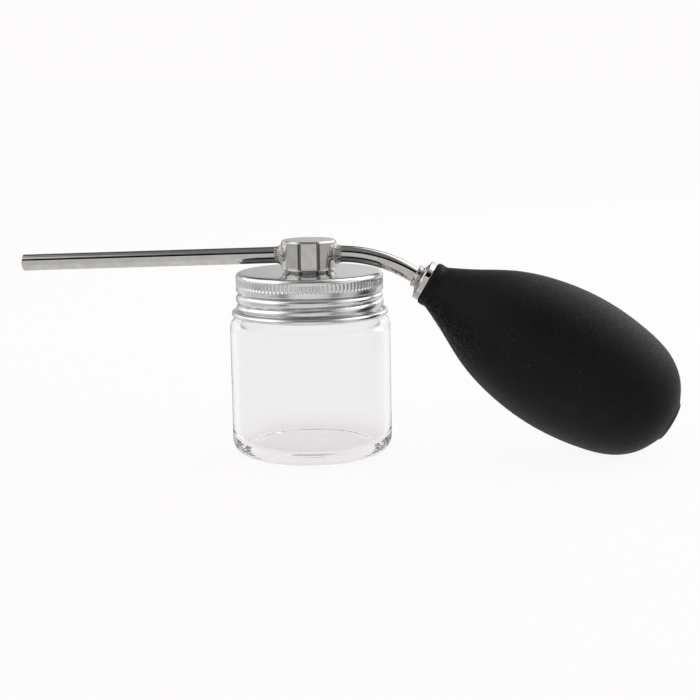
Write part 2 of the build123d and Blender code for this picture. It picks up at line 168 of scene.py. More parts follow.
# ---- reflected room: stops of (degrees, brightness), up from the horizon or round from the camera ----
ROOM_BY_HEIGHT = (
    (-90, 0.45),
    (20, 0.45),
    (23, 0.52),
    (26, 0.52),
    (28, 0.0),
    (47, 0.0),
    (50, 0.09),
    (75, 0.13),
    (90, 0.13),
)
ROOM_BY_SIDE = (
    (0, 0.88),
    (32, 0.88),
    (34, 0.10),
    (37, 0.12),
    (38.5, 0.5),
    (40, 0.08),
    (46, 0.12),
    (49, 0.7),
    (105, 0.7),
    (125, 1.0),
    (180, 1.0),
)
BOX_BY_HEIGHT = ((-90, 0.0), (2, 0.0), (20, 1.0), (58, 1.0), (70, 0.0), (90, 0.0))
BOX_BY_SIDE = ((0, 0.0), (36, 0.0), (58, 1.0), (122, 1.0), (145, 0.0), (180, 0.0))
ROOM_LEVEL = 2.2

# ---- camera: place in millimetres, lens for a sensor 36 mm wide ----
CAMERA_PLACE = (65.5, -439.1, 108.0)
CAMERA_TURN = radians(7.0)
CAMERA_PITCH = radians(9.99)
CAMERA_ROLL = radians(-0.92)
CAMERA_LENS = 78.7

TILT = atan2(-BULB_AXIS.z, BULB_AXIS.x)
BEND_END_X = BEND_START + BEND_R * sin(TILT)
BEND_END_Z = TUBE_Z - BEND_R * (1 - cos(TILT))
NECK_FACE = Vector((NECK_FACE_X, 0, BEND_END_Z - (NECK_FACE_X - BEND_END_X) * tan(TILT)))


# ================================================================ mesh helpers

def along(axis, origin):
    """Matrix that puts local Z along an axis and local X along the row's Y, at an origin in millimetres."""
    z = Vector(axis).normalized()
    x = Vector((0, 1, 0))
    y = z.cross(x)
    turn = Matrix((x, y, z)).transposed().to_4x4()
    return Matrix.Translation(Vector(origin)) @ turn


ON_BULB = along(BULB_AXIS, NECK_FACE)
ON_NOZZLE = along(NOZZLE_AXIS, (0, 0, TUBE_Z))
ON_BULB_TUBE = along((1, 0, 0), (0, 0, TUBE_Z))
UPRIGHT = Matrix.Identity(4)
BULB_UP = (-BULB_AXIS.z, 0.0, BULB_AXIS.x)


def mesh_piece(name, points, faces, place=UPRIGHT, sharp=40):
    """A piece from points in millimetres, smooth except where faces meet at more than sharp degrees."""
    turn = np.array(place)
    spots = np.asarray(points, float) @ turn[:3, :3].T + turn[:3, 3]
    mesh = bpy.data.meshes.new(name)
    mesh.from_pydata((spots * MM).tolist(), [], faces)
    mesh.validate()
    mesh.shade_smooth()
    mesh.set_sharp_from_angle(angle=radians(sharp))
    piece = bpy.data.objects.new(name, mesh)
    bpy.context.scene.collection.objects.link(piece)
    return piece


def outward(piece):
    """Make every face of a closed piece point outwards."""
    surface = bmesh.new()
    surface.from_mesh(piece.data)
    bmesh.ops.recalc_face_normals(surface, faces=surface.faces)
    surface.to_mesh(piece.data)
    surface.free()
    return piece


def grid_faces(rows, columns, close_rows=False, close_columns=False):
    """Quads over a grid of points stored row by row."""
    faces = []
    for i in range(rows if close_rows else rows - 1):
        for j in range(columns if close_columns else columns - 1):
            a = i * columns + j
            b = i * columns + (j + 1) % columns
            c = ((i + 1) % rows) * columns + (j + 1) % columns
            d = ((i + 1) % rows) * columns + j
            faces.append((a, b, c, d))
    return faces


def rounded(corners, steps=6):
    """An outline with rounded corners. A corner is (radius, height) or (radius, height, rounding)."""
    points = []
    last = len(corners) - 1
    for i, corner in enumerate(corners):
        here = Vector(corner[:2])
        rounding = corner[2] if len(corner) > 2 else 0
        if i in (0, last) or not rounding:
            points.append(tuple(here))
            continue
        before = (Vector(corners[i - 1][:2]) - here).normalized()
        after = (Vector(corners[i + 1][:2]) - here).normalized()
        half = before.angle(after) / 2
        centre = here + (before + after).normalized() * rounding / sin(half)
        start = here + before * rounding / tan(half)
        end = here + after * rounding / tan(half)
        from_angle = atan2(start.y - centre.y, start.x - centre.x)
        sweep = atan2(end.y - centre.y, end.x - centre.x) - from_angle
        sweep = (sweep + pi) % (2 * pi) - pi
        for k in range(steps + 1):
            angle = from_angle + sweep * k / steps
            points.append((centre.x + rounding * cos(angle), centre.y + rounding * sin(angle)))
    return points


def divided(outline, longest, guard=0.12):
    """The same outline with no step over a length, and a point close to both ends of each long side."""
    points = [outline[0]]
    for (r0, z0), (r1, z1) in zip(outline, outline[1:]):
        length = hypot(r1 - r0, z1 - z0)
        shares = list(np.linspace(0, 1, max(1, int(length / longest + 0.999)) + 1)[1:])
        if length > 4 * guard:
            shares = sorted(set(shares) | {guard / length, 1 - guard / length})
        points += [(r0 + (r1 - r0) * share, z0 + (z1 - z0) * share) for share in shares]
    return points


def lathe(name, outline, segments=128, closed=True, place=UPRIGHT, shape=None, sharp=40):
    """Turn an outline about Z. shape(angle, radius, height) may change a point's radius."""
    points = []
    for k in range(segments):
        angle = 2 * pi * k / segments
        for r, z in outline:
            reach = shape(angle, r, z) if shape else r
            points.append((reach * cos(angle), reach * sin(angle), z))
    faces = grid_faces(segments, len(outline), close_rows=True, close_columns=closed)
    piece = mesh_piece(name, points, faces, place, sharp)
    weld(piece)
    return outward(piece)


def weld(piece):
    """Merge points that lie together, such as those on the axis of a turned piece."""
    surface = bmesh.new()
    surface.from_mesh(piece.data)
    bmesh.ops.remove_doubles(surface, verts=surface.verts, dist=1e-7)
    surface.to_mesh(piece.data)
    surface.free()


def spline(points, samples):
    """A smooth curve through points given as (position, value), as evenly spaced samples of both."""
    knots = np.array(points, float)
    chord = np.concatenate([[0], np.cumsum(np.hypot(*np.diff(knots, axis=0).T))])
    count = len(knots)
    step = np.diff(chord)
    fine = np.linspace(0, chord[-1], samples)
    result = []
    for values in knots.T:
        matrix = np.zeros((count, count))
        right = np.zeros(count)
        matrix[0, 0] = matrix[-1, -1] = 1
        for i in range(1, count - 1):
            matrix[i, i - 1] = step[i - 1]
            matrix[i, i] = 2 * (step[i - 1] + step[i])
            matrix[i, i + 1] = step[i]
            right[i] = 6 * ((values[i + 1] - values[i]) / step[i] - (values[i] - values[i - 1]) / step[i - 1])
        bend = np.linalg.solve(matrix, right)
        span = np.clip(np.searchsorted(chord, fine, side="right") - 1, 0, count - 2)
        h = step[span]
        a = (chord[span + 1] - fine) / h
        b = 1 - a
        curve = a * values[span] + b * values[span + 1]
        curve += ((a ** 3 - a) * bend[span] + (b ** 3 - b) * bend[span + 1]) * h ** 2 / 6
        result.append(curve)
    return list(zip(*result))


def smoothstep(low, high, value):
    """0 below low, 1 above high, with a smooth change between them."""
    share = min(1.0, max(0.0, (value - low) / (high - low)))
    return share * share * (3 - 2 * share)


# ================================================================ material helpers

class Nodes:
    """Short calls that add nodes to a tree and return a socket."""

    def __init__(self, tree):
        self.tree = tree

    def node(self, kind, inputs=(), **properties):
        """Add a node, set its properties, and link or set the inputs given as (slot, value)."""
        made = self.tree.nodes.new(kind)
        for key, value in properties.items():
            setattr(made, key, value)
        for slot, value in inputs:
            if isinstance(value, bpy.types.NodeSocket):
                self.tree.links.new(value, made.inputs[slot])
            else:
                made.inputs[slot].default_value = value
        return made

    def math(self, operation, a, b=0.0):
        return self.node("ShaderNodeMath", [(0, a), (1, b)], operation=operation).outputs[0]

    def ranged(self, value, low, high, to_low, to_high):
        """Map a value from one range to another, held at the ends."""
        inputs = [(0, value), (1, low), (2, high), (3, to_low), (4, to_high)]
        return self.node("ShaderNodeMapRange", inputs).outputs[0]

    def between(self, share, first, second):
        """The first number where share is 0 and the second where it is 1."""
        return self.node("ShaderNodeMix", [(0, share), (2, first), (3, second)]).outputs[0]

    def layered(self, share, under, over, blend_type="MIX"):
        """One colour laid over another."""
        inputs = [(0, share), (6, under), (7, over)]
        return self.node("ShaderNodeMix", inputs, data_type="RGBA", blend_type=blend_type).outputs[2]

    def colours(self, value, *stops):
        """Colour by value: each stop is (position, (red, green, blue))."""
        ramp = self.node("ShaderNodeValToRGB", [("Fac", value)])
        elements = ramp.color_ramp.elements
        while len(elements) < len(stops):
            elements.new(0.5)
        for element, (position, colour) in zip(elements, stops):
            element.position = position
            element.color = (*colour, 1)
        return ramp.outputs["Color"]


class Recipe(Nodes):
    """A Principled material and short calls for the nodes that feed it."""

    def __init__(self, name, **values):
        self.material = bpy.data.materials.new(name)
        self.material.use_nodes = True
        super().__init__(self.material.node_tree)
        self.shader = self.tree.nodes["Principled BSDF"]
        for socket, value in values.items():
            self.set(socket.replace("_", " "), value)
        self.coordinates = self.tree.nodes.new("ShaderNodeTexCoord").outputs["Object"]
        self.position = self.scaled(self.coordinates, 1 / MM)

    def set(self, socket, value):
        """Put a number, a colour or another node's output on one of the shader's sockets."""
        if isinstance(value, bpy.types.NodeSocket):
            self.tree.links.new(value, self.shader.inputs[socket])
        elif isinstance(value, (tuple, list)) and len(value) == 3:
            self.shader.inputs[socket].default_value = (*value, 1)
        else:
            self.shader.inputs[socket].default_value = value

    def vector(self, operation, a, b, output=0):
        return self.node("ShaderNodeVectorMath", [(0, a), (1, b)], operation=operation).outputs[output]

    def scaled(self, vector, scale):
        """A vector times a number, or times three numbers."""
        factors = scale if isinstance(scale, tuple) else (scale,) * 3
        return self.vector("MULTIPLY", vector, factors)

    def noise(self, scale, detail=3.0, roughness=0.5, vector=None):
        """Noise between 0 and 1 whose scale is features per millimetre."""
        place = self.position if vector is None else vector
        inputs = [("Vector", place), ("Scale", scale), ("Detail", detail), ("Roughness", roughness)]
        return self.node("ShaderNodeTexNoise", inputs).outputs["Fac"]

    def bump(self, height, distance, strength=1.0, normal=None):
        """Bump with its height in millimetres."""
        inputs = [("Height", height), ("Distance", distance * MM), ("Strength", strength)]
        if normal is not None:
            inputs.append(("Normal", normal))
        return self.node("ShaderNodeBump", inputs).outputs[0]

    def finish_on(self, *pieces):
        for piece in pieces:
            piece.data.materials.clear()
            piece.data.materials.append(self.material)
        return self.material


# ================================================================ materials

def chrome():
    """Polished nickel-chrome plate: slightly warm, with faint waves and fine rubbing marks."""
    m = Recipe("plated_chrome", Metallic=1.0)
    cloud = m.noise(0.35, 3)
    m.set("Base Color", m.colours(cloud, (0.3, (0.45, 0.44, 0.42)), (0.7, (0.53, 0.515, 0.495))))
    marks = m.noise(1.0, 4, 0.6, m.scaled(m.position, (0.9, 7.0, 7.0)))
    m.set("Roughness", m.ranged(marks, 0.3, 0.75, 0.02, 0.07))
    wave = m.bump(m.noise(0.16, 1.5), 0.05, 0.5)
    m.set("Normal", m.bump(marks, 0.0012, 0.6, wave))
    return m


def brazed_metal():
    """Plated braze: uneven and pitted, with painted shade that makes it darker than the tube and darkest in the
    pits.
    """
    m = Recipe("plated_braze", Metallic=1.0)
    lumps = m.noise(0.9, 3, 0.6)
    pits_and_shade = m.noise(2.6, 3, 0.65)
    # Painted shade: the pattern that sinks the pits also darkens them, and the whole braze is coloured darker than
    # the tube for the dark look of the hollow fillet.
    m.set("Base Color", m.colours(pits_and_shade, (0.35, (0.16, 0.155, 0.15)), (0.6, (0.46, 0.45, 0.43))))
    m.set("Roughness", m.ranged(pits_and_shade, 0.3, 0.7, 0.08, 0.22))
    m.set("Normal", m.bump(pits_and_shade, 0.12, 0.8, m.bump(lumps, 0.5, 0.9)))
    return m


def spun_aluminium():
    """Satin sheet metal with rings from spinning; the flat top is brighter and smoother."""
    m = Recipe("spun_aluminium", Metallic=1.0)
    x, y, z = m.node("ShaderNodeSeparateXYZ", [(0, m.position)]).outputs
    radius = m.math("SQRT", m.math("ADD", m.math("MULTIPLY", x, x), m.math("MULTIPLY", y, y)))
    rings = m.node("ShaderNodeCombineXYZ", [(0, radius), (1, z)]).outputs[0]
    lines = m.noise(7.0, 4, 0.7, rings)
    blotch = m.noise(0.22, 4, 0.6)
    m.set("Base Color", m.colours(blotch, (0.3, (0.64, 0.64, 0.645)), (0.7, (0.72, 0.72, 0.725))))
    top = m.ranged(z, CAP_TOP - 0.25, CAP_TOP - 0.02, 0.0, 1.0)
    side_rough = m.ranged(lines, 0.25, 0.75, 0.22, 0.32)
    top_rough = m.ranged(lines, 0.25, 0.75, 0.07, 0.11)
    m.set("Roughness", m.between(top, side_rough, top_rough))
    m.set("Normal", m.bump(lines, 0.004, 0.5, m.bump(blotch, 0.02, 0.25)))
    return m


def clear_glass():
    """Clear glass with the faint waviness of a moulded jar, and painted shade that darkens it towards its foot. It
    bends light less than real glass does.
    """
    m = Recipe("clear_glass", Transmission_Weight=1.0, IOR=1.16)
    height = m.node("ShaderNodeSeparateXYZ", [(0, m.position)]).outputs[2]
    # Painted shade: the glass darkens from about 9 mm down to its foot, with a little noise in the height, in
    # place of the shade under the jar seen through its thick bottom.
    foot_shade_share = m.ranged(m.math("ADD", height, m.noise(0.12, 2)), 0.5, 9.0, 0.0, 1.0)
    painted_foot_shade = (0.0, (0.78, 0.765, 0.77))
    lower = (0.5, (0.90, 0.89, 0.894))
    upper = (1.0, (0.935, 0.937, 0.937))
    m.set("Base Color", m.colours(foot_shade_share, painted_foot_shade, lower, upper))
    m.set("Roughness", m.ranged(m.noise(0.5, 2), 0.3, 0.8, 0.0, 0.02))
    m.set("Normal", m.bump(m.noise(0.09, 2), 0.12, 0.35))
    return m


def black_rubber():
    """Moulded black rubber: dull, with fine grain, dust, light scuffs and a broken parting line."""
    m = Recipe("black_rubber", Specular_IOR_Level=0.15)
    patches = m.noise(0.06, 5, 0.6)
    grain = m.noise(1.3, 5, 0.75)
    scuff_space = m.scaled(m.position, (0.9, 0.25, 0.5))
    scuffs = m.ranged(m.noise(1.1, 6, 0.75, scuff_space), 0.60, 0.76, 0.0, 1.0)
    dust = m.ranged(m.noise(1.5, 1, 0.5), 0.66, 0.72, 0.0, 1.0)
    from_neck = m.vector("SUBTRACT", m.position, tuple(NECK_FACE))
    distance = m.vector("DOT_PRODUCT", from_neck, tuple(BULB_AXIS), "Value")
    wander = m.math("ADD", distance, m.ranged(m.noise(0.15, 2), 0.0, 1.0, -1.2, 1.2))
    away = m.math("ABSOLUTE", m.math("SUBTRACT", wander, PARTING_AT))
    across = m.vector("DOT_PRODUCT", from_neck, BULB_UP, "Value")
    ragged = m.math("ADD", across, m.ranged(m.noise(0.5, 3), 0.0, 1.0, -1.5, 1.5))
    start = m.ranged(ragged, PARTING_SEEN[0], PARTING_SEEN[0] + 2.0, 0.0, 1.0)
    stop = m.ranged(ragged, PARTING_SEEN[1] - 2.0, PARTING_SEEN[1], 1.0, 0.0)
    crease = m.math("MULTIPLY", m.ranged(away, 0.1, 0.4, 1.0, 0.0), m.math("MULTIPLY", start, stop))
    marks = m.math("ADD", m.math("MULTIPLY", scuffs, 0.2), m.math("MULTIPLY", dust, 0.2))
    ground = m.math("ADD", m.math("MULTIPLY", patches, 0.6), m.math("MULTIPLY", grain, 0.4))
    tone = m.math("ADD", ground, marks)
    black = (0.35, (0.0008, 0.0008, 0.0009))
    plain = (0.6, (0.0028, 0.0028, 0.0029))
    dusty = (0.95, (0.03, 0.03, 0.03))
    m.set("Base Color", m.colours(tone, black, plain, dusty))
    rough = m.ranged(grain, 0.3, 0.7, 0.46, 0.66)
    m.set("Roughness", m.math("ADD", rough, m.math("MULTIPLY", scuffs, 0.1)))
    relief = m.math("SUBTRACT", m.math("MULTIPLY", grain, 0.35), crease)
    m.set("Normal", m.bump(relief, 0.35, 1.0, m.bump(patches, 0.4, 0.3)))
    return m


def black_plastic():
    """Fine satin moulded plastic."""
    m = Recipe("black_plastic", Specular_IOR_Level=0.4)
    grain = m.noise(6.0, 3, 0.6)
    m.set("Base Color", m.colours(grain, (0.35, (0.010, 0.010, 0.011)), (0.7, (0.018, 0.018, 0.019))))
    m.set("Roughness", m.ranged(grain, 0.3, 0.7, 0.34, 0.46))
    m.set("Normal", m.bump(grain, 0.01, 0.4))
    return m


def soft_seal(name, dark, light, grain_scale):
    """Foam or rubber seal: dull, with a fine cell pattern."""
    m = Recipe(name, Specular_IOR_Level=0.3)
    cells = m.noise(grain_scale, 4, 0.7)
    m.set("Base Color", m.colours(cells, (0.3, dark), (0.7, light)))
    m.set("Roughness", m.ranged(cells, 0.3, 0.7, 0.6, 0.8))
    m.set("Normal", m.bump(cells, 0.03, 0.5))
    return m


def turned_metal(name, dark, light, rough_low, rough_high):
    """Turned or plated small metal part with fine tool lines."""
    m = Recipe(name, Metallic=1.0)
    lines = m.noise(2.2, 4, 0.65, m.scaled(m.position, (0.6, 0.6, 6.0)))
    m.set("Base Color", m.colours(lines, (0.3, dark), (0.75, light)))
    m.set("Roughness", m.ranged(lines, 0.3, 0.75, rough_low, rough_high))
    m.set("Normal", m.bump(lines, 0.004, 0.5))
    return m


CHROME = chrome()
BRAZED = brazed_metal()
CAP_METAL = spun_aluminium()
GLASS = clear_glass()
RUBBER = black_rubber()
PLASTIC = black_plastic()
FOAM = soft_seal("liner_foam", (0.74, 0.74, 0.72), (0.86, 0.86, 0.84), 5.0)
SEAL = soft_seal("seal_rubber", (0.015, 0.015, 0.015), (0.03, 0.03, 0.03), 4.0)
ZINC = turned_metal("zinc_steel", (0.5, 0.51, 0.53), (0.68, 0.69, 0.7), 0.2, 0.36)
BRASS = turned_metal("turned_brass", (0.6, 0.42, 0.17), (0.78, 0.6, 0.3), 0.16, 0.3)
BALL_STEEL = turned_metal("ball_steel", (0.55, 0.55, 0.57), (0.66, 0.66, 0.68), 0.06, 0.12)
MESH_STEEL = turned_metal("mesh_steel", (0.4, 0.4, 0.41), (0.6, 0.6, 0.61), 0.25, 0.4)


def dress(piece, recipe, body, slot, *nodes):
    """Give a piece its material and body, and let it stand for CAD nodes. The slot is not used."""
    recipe.finish_on(piece)
    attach(piece, body)
    if nodes:
        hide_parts(*nodes)
    return piece


# ================================================================ jar

def thread_height(angle):
    """Height of the thread's centre line at an angle, for the turn that starts at the front."""
    return THREAD_Z + PITCH * ((angle - THREAD_ANGLE) % (2 * pi)) / (2 * pi)


def glass_ridge(angle, r, z):
    """Radius of the neck with its thread ridge, which runs out to nothing at both ends."""
    if r < NECK_R - 0.01 or r > NECK_R + 0.01:
        return r
    reach = r
    for turn in NEARBY_TURNS:
        centre = thread_height(angle) + turn * PITCH
        start = smoothstep(RIDGE_LOW_Z, RIDGE_LOW_Z + RIDGE_RUNOUT, centre)
        stop = smoothstep(RIDGE_HIGH_Z - RIDGE_RUNOUT, RIDGE_HIGH_Z, centre)
        runout = start * (1 - stop)
        flank = 1 - smoothstep(RIDGE_HALF_CREST, RIDGE_HALF_ROOT, abs(z - centre))
        reach = max(reach, NECK_R + (RIDGE_R - NECK_R) * flank * runout)
    return reach


def make_jar():
    """Straight-sided jar with a shallow punt, rounded shoulder and threaded neck, as one closed surface."""
    bore = JAR_R - JAR_WALL
    neck_bore = NECK_R - NECK_WALL
    corners = rounded(
        [
            (0, PUNT_RISE),
            (PUNT_R, PUNT_RISE, 3.0),
            (18.0, 0.0, 1.5),
            (JAR_R, 0.0, JAR_FOOT_ROUNDING),
            (JAR_R, SHOULDER_Z, 2.8),
            (NECK_R, SHOULDER_Z + SHOULDER_RISE, 0.6),
            (NECK_R, JAR_H, 0.8),
            (neck_bore, JAR_H, 0.8),
            (neck_bore, SHOULDER_Z + 0.4, 1.5),
            (bore, SHOULDER_Z - JAR_WALL, 2.4),
            (bore, 3.2, 3.5),
            (0, JAR_FLOOR),
        ],
        steps=10,
    )
    outline = []
    for first, second in zip(corners, corners[1:]):
        on_neck = abs(first[0] - NECK_R) < 0.01 and abs(second[0] - NECK_R) < 0.01
        outline += divided([first, second], RIDGE_STEP if on_neck else 3.0)[:-1]
    outline.append(corners[-1])
    piece = lathe("glass_jar", outline, segments=240, closed=False, shape=glass_ridge, sharp=60)
    return dress(piece, GLASS, "jar", "glass", "jar")


# ================================================================ cap

def valley(distance, half_width):
    """Share of full height at a distance from a rolled groove: a rounded cusp between convex sides."""
    near = min(1.0, (hypot(distance, VALLEY_BLUNT) - VALLEY_BLUNT) / half_width)
    return sqrt(max(0.0, 1 - (1 - near) ** 2))


def skirt_radius(angle, z):
    """Outside radius of the cap below its plain band: ring groove, rolled thread, bottom crevice."""
    share = valley(z - RING_Z, RING_HALF_WIDTH)
    for turn in NEARBY_TURNS:
        centre = thread_height(angle) + PITCH / 2 + turn * PITCH
        if CURL_Z + 0.9 < centre < RING_Z:
            share = min(share, valley(z - centre, GROOVE_HALF_WIDTH))
    share = min(share, valley(z - CREVICE_Z, GROOVE_HALF_WIDTH))
    return VALLEY_R + (CREST_R - VALLEY_R) * min(1.0, share)


def serrated(angle, z):
    """Depth of the upright serrations at a point of the band."""
    wave = (angle * KNURLS / (2 * pi)) % 1.0
    groove = smoothstep(0.12, 0.34, wave) * (1 - smoothstep(0.62, 0.84, wave))
    ends = smoothstep(KNURL_LOW, KNURL_LOW + 0.8, z) * (1 - smoothstep(KNURL_HIGH - 0.3, KNURL_HIGH + 0.1, z))
    return KNURL_DEPTH * groove * ends


def make_cap():
    """The spun cap as one closed sheet: top, band, skirt, curl and the same shape inside."""
    band_top = CAP_TOP - CAP_RIM
    skirt_top = RING_Z + 0.7
    skirt_low = CURL_Z + 0.5
    curl_r = CAP_EDGE_R - CURL_SECTION
    outside = []
    for r in np.linspace(SPIGOT_R + 0.05, CAP_BAND_R - CAP_RIM, 14):
        outside.append((r, CAP_TOP, "plain"))
    for k in range(1, 9):
        angle = pi / 2 * (1 - k / 8)
        outside.append((CAP_BAND_R - CAP_RIM + CAP_RIM * cos(angle), band_top + CAP_RIM * sin(angle), "rim"))
    for z in np.linspace(band_top - 0.1, KNURL_LOW - 0.05, 16):
        outside.append((CAP_BAND_R, z, "knurl"))
    outside.append((CAP_BAND_R, skirt_top + 0.35, "plain"))
    for z in np.linspace(skirt_top, skirt_low, 56):
        outside.append((CREST_R, z, "skirt"))
    for k in range(17):
        angle = radians(150 - 300 * k / 16)
        outside.append((curl_r + CURL_SECTION * cos(angle), CURL_Z + CURL_SECTION * sin(angle), "plain"))
    inside = []
    for z in np.linspace(skirt_low - 0.3, skirt_top, 30):
        inside.append((CREST_R, z, "lining"))
    inside.append((CAP_BORE_R, skirt_top + 0.5, "plain"))
    inside.append((CAP_BORE_R, CAP_TOP - CAP_PLATE - 0.4, "plain"))
    inside.append((CAP_BAND_R - 1.0, CAP_TOP - CAP_PLATE, "plain"))
    inside.append((SPIGOT_R + 0.05, CAP_TOP - CAP_PLATE, "plain"))
    profile = outside + inside
    segments = KNURLS * 6
    points = []
    for k in range(segments):
        angle = 2 * pi * k / segments
        for r, z, kind in profile:
            if kind in ("knurl", "rim"):
                r = r - serrated(angle, z)
            elif kind == "skirt":
                blend = smoothstep(skirt_top - 0.5, skirt_top, z)
                r = skirt_radius(angle, z) * (1 - blend) + CAP_BAND_R * blend
            elif kind == "lining":
                r = min(skirt_radius(angle, z), CREST_R) - CAP_WALL
            points.append((r * cos(angle), r * sin(angle), z))
    faces = grid_faces(segments, len(profile), close_rows=True, close_columns=True)
    piece = outward(mesh_piece("screw_cap_shell", points, faces, sharp=55))
    return dress(piece, CAP_METAL, "cap", "cap_metal", "screw_cap")


# ================================================================ hub, tubes, connector

def make_hub():
    """Round hub with softened chamfers and a spigot with its two ports open below."""
    outline = rounded(
        [
            (0, SPIGOT_LOW),
            (SPIGOT_R - 0.6, SPIGOT_LOW, 0.15),
            (SPIGOT_R, SPIGOT_LOW + 0.6, 0.15),
            (SPIGOT_R, CAP_TOP),
            (HUB_R - HUB_FOOT_CHAMFER, CAP_TOP + 0.02, 0.1),
            (HUB_R, CAP_TOP + HUB_FOOT_CHAMFER, 0.45),
            (HUB_R, HUB_TOP - HUB_TOP_CHAMFER, 0.25),
            (HUB_R - HUB_TOP_CHAMFER, HUB_TOP, 0.25),
            (0, HUB_TOP),
        ],
        steps=8,
    )
    piece = lathe("hub", divided(outline, 1.5), segments=160, closed=False, sharp=50)
    low = SPIGOT_LOW - 1
    high = SPIGOT_LOW + 9
    for name, x, r in PORTS:
        section = [(0, low), (r, low), (r, high), (0, high)]
        cut(piece, lathe(name, section, 48, False, Matrix.Translation((x, 0, 0))))
    return dress(piece, CHROME, "cap", "chrome", "hub_body")


def cut(piece, cutter):
    """Take one closed piece out of another."""
    modifier = piece.modifiers.new("cut", "BOOLEAN")
    modifier.operation = "DIFFERENCE"
    modifier.solver = "EXACT"
    modifier.object = cutter
    bpy.context.view_layer.objects.active = piece
    bpy.ops.object.modifier_apply(modifier=modifier.name)
    bpy.data.objects.remove(cutter)
    piece.data.set_sharp_from_angle(angle=radians(50))


def make_nozzle():
    """Straight tube, open at a square-cut tip with a slight burr-free edge."""
    end = NOZZLE_TIP_X / -NOZZLE_AXIS.x
    outline = rounded(
        [
            (TUBE_BORE_R, TUBE_SEAT),
            (TUBE_R, TUBE_SEAT, 0.02),
            (TUBE_R, end, 0.12),
            (TUBE_BORE_R, end, 0.1),
            (TUBE_BORE_R, TUBE_SEAT),
        ],
        steps=4,
    )[:-1]
    piece = lathe("nozzle", divided(outline, 2.5), segments=96, place=ON_NOZZLE, sharp=50)
    return dress(piece, CHROME, "cap", "chrome", "nozzle_tube")


def bulb_tube_point(distance):
    """Point and direction of the bulb tube's axis at a distance from its seat in the hub."""
    level = BEND_START - TUBE_SEAT
    bend = BEND_R * TILT
    if distance < level:
        return Vector((TUBE_SEAT + distance, 0, TUBE_Z)), Vector((1, 0, 0))
    if distance < level + bend:
        angle = (distance - level) / BEND_R
        spot = Vector((BEND_START + BEND_R * sin(angle), 0, TUBE_Z - BEND_R * (1 - cos(angle))))
        return spot, Vector((cos(angle), 0, -sin(angle)))
    spot = Vector((BEND_END_X, 0, BEND_END_Z)) + BULB_AXIS * (distance - level - bend)
    return spot, BULB_AXIS.copy()


def make_bulb_tube():
    """Tube bent in one arc, round all along and closed at both ends."""
    straight_end = (NECK_FACE_X - BEND_END_X) / BULB_AXIS.x - 1.0
    length = BEND_START - TUBE_SEAT + BEND_R * TILT + straight_end
    rings, around = 90, 96
    points = []
    for i in range(rings):
        spot, direction = bulb_tube_point(length * i / (rings - 1))
        up = Vector((0, 1, 0)).cross(direction) * -1
        for j in range(around):
            angle = 2 * pi * j / around
            points.append(spot + Vector((0, 1, 0)) * TUBE_R * cos(angle) + up * TUBE_R * sin(angle))
    faces = grid_faces(rings, around, close_columns=True)
    faces.append(tuple(range(around)))
    faces.append(tuple(range((rings - 1) * around, rings * around)))
    piece = outward(mesh_piece("bulb_side_tube", points, faces, sharp=60))
    return dress(piece, CHROME, "cap", "chrome", "bulb_tube")


def make_braze(name, place, node):
    """Hollow-sided ring of braze that grows out of the hub's round side and thins onto the tube."""
    around, steps = 72, 14
    points = []
    for j in range(around):
        angle = 2 * pi * j / around
        across = cos(angle)
        up = sin(angle)
        root = sqrt(HUB_R ** 2 - (BRAZE_R * across) ** 2) - 0.08
        for k in range(steps + 1):
            t = k / steps
            hollow = 1 - sqrt(max(0.0, 1 - (1 - t) ** 2))
            reach = BRAZE_TOE_R + (BRAZE_R - BRAZE_TOE_R) * hollow
            points.append((reach * across, reach * up, root + (BRAZE_END - root) * t))
        points.append((BRAZE_INSIDE_R * across, BRAZE_INSIDE_R * up, BRAZE_END - 0.2))
        points.append((BRAZE_INSIDE_R * across, BRAZE_INSIDE_R * up, BRAZE_ROOT_Z))
        points.append((BRAZE_R * across * 0.96, BRAZE_R * up * 0.96, BRAZE_ROOT_Z))
    faces = grid_faces(around, steps + 4, close_rows=True, close_columns=True)
    piece = outward(mesh_piece(name, points, faces, place, sharp=50))
    return dress(piece, BRAZED, "cap", "chrome", node)


def make_connector():
    """Collar, flare, flange and the barbed stem that is hidden in the bulb."""
    outline = rounded(
        [
            (TUBE_R, -1.0),
            (TUBE_R, -4.25, 0.0),
            (2.75, -4.3, 0.05),
            (3.3, -4.05, 0.25),
            (3.35, -3.35, 0.2),
            (3.0, -3.05, 0.15),
            (3.5, -2.6, 0.4),
            (4.9, -2.15, 0.25),
            (5.0, -1.98, 0.05),
            (5.9, -1.95, 0.35),
            (5.9, -0.0, 0.3),
            (3.6, 0.0),
            (3.6, 2.5),
            (4.0, 2.5),
            (3.6, 4.3),
            (3.6, 5.5),
            (4.0, 5.5),
            (3.6, 7.3),
            (3.6, 8.5),
            (4.0, 8.5),
            (3.6, 10.3),
            (3.6, 16.0),
            (2.5, 16.0),
            (2.5, 6.0),
            (1.8, 6.0),
            (1.8, -1.0),
        ],
        steps=6,
    )
    piece = lathe("bulb_connector", divided(outline, 1.5), segments=120, place=ON_BULB, sharp=50)
    return dress(piece, CHROME, "cap", "chrome", "connector_body")


# ================================================================ bulb and intake valve

